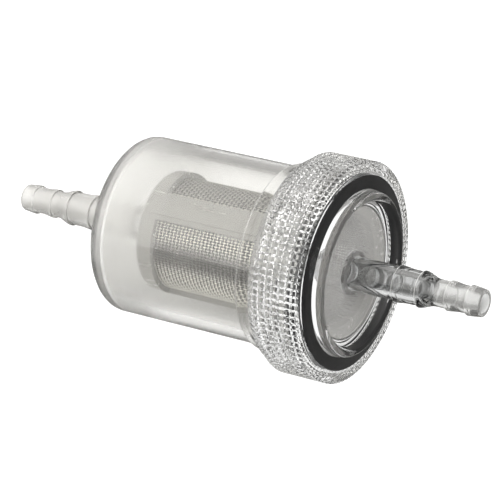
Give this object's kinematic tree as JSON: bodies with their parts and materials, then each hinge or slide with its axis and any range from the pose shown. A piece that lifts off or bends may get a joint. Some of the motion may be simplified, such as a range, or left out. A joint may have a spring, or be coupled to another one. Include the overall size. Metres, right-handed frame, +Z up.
{
  "type": "inline fuel filter",
  "caption": "Clear inline fuel filter: frosted bowl and knurled screw cap, each with a stepped hose barb, around a flanged mesh strainer with a flat black seal.",
  "frame": {"origin": "centre of the inlet barb's open end", "axes": "+X along the filter's axis in the direction of flow, from the inlet barb to the outlet barb; +Z up with the filter lying level"},
  "size_m": [0.1033, 0.043, 0.043],
  "materials": {
    "frosted_plastic": "translucent, lightly frosted, smooth outside",
    "clear_plastic": "water-clear and glossy",
    "black_rubber": "smooth black rubber, wetted glossy under the cap",
    "milky_plastic": "milky white moulding, satin",
    "steel_mesh": "woven stainless wire cloth"
  },
  "bodies": {
    "bowl": {"bowl": "frosted_plastic"},
    "strainer": {"strainer_cage": "milky_plastic", "strainer_mesh": "steel_mesh", "seal_ring": "black_rubber"},
    "cap": {"cap": "clear_plastic"}
  },
  "joints": [
    {"name": "strainer_travel", "type": "slide", "parent": "bowl", "child": "strainer", "axis": [1, 0, 0], "range_m": [0, 0.0061]},
    {"name": "cap_turn", "type": "hinge", "parent": "strainer", "child": "cap", "pos_m": [0.0728, 0, 0], "axis": [1, 0, 0], "range_deg": [0, 1440]}
  ],
  "couplings": [
    {"joint": "strainer_travel", "follows": "cap_turn", "m_per_rad": 0.00023873}
  ]
}
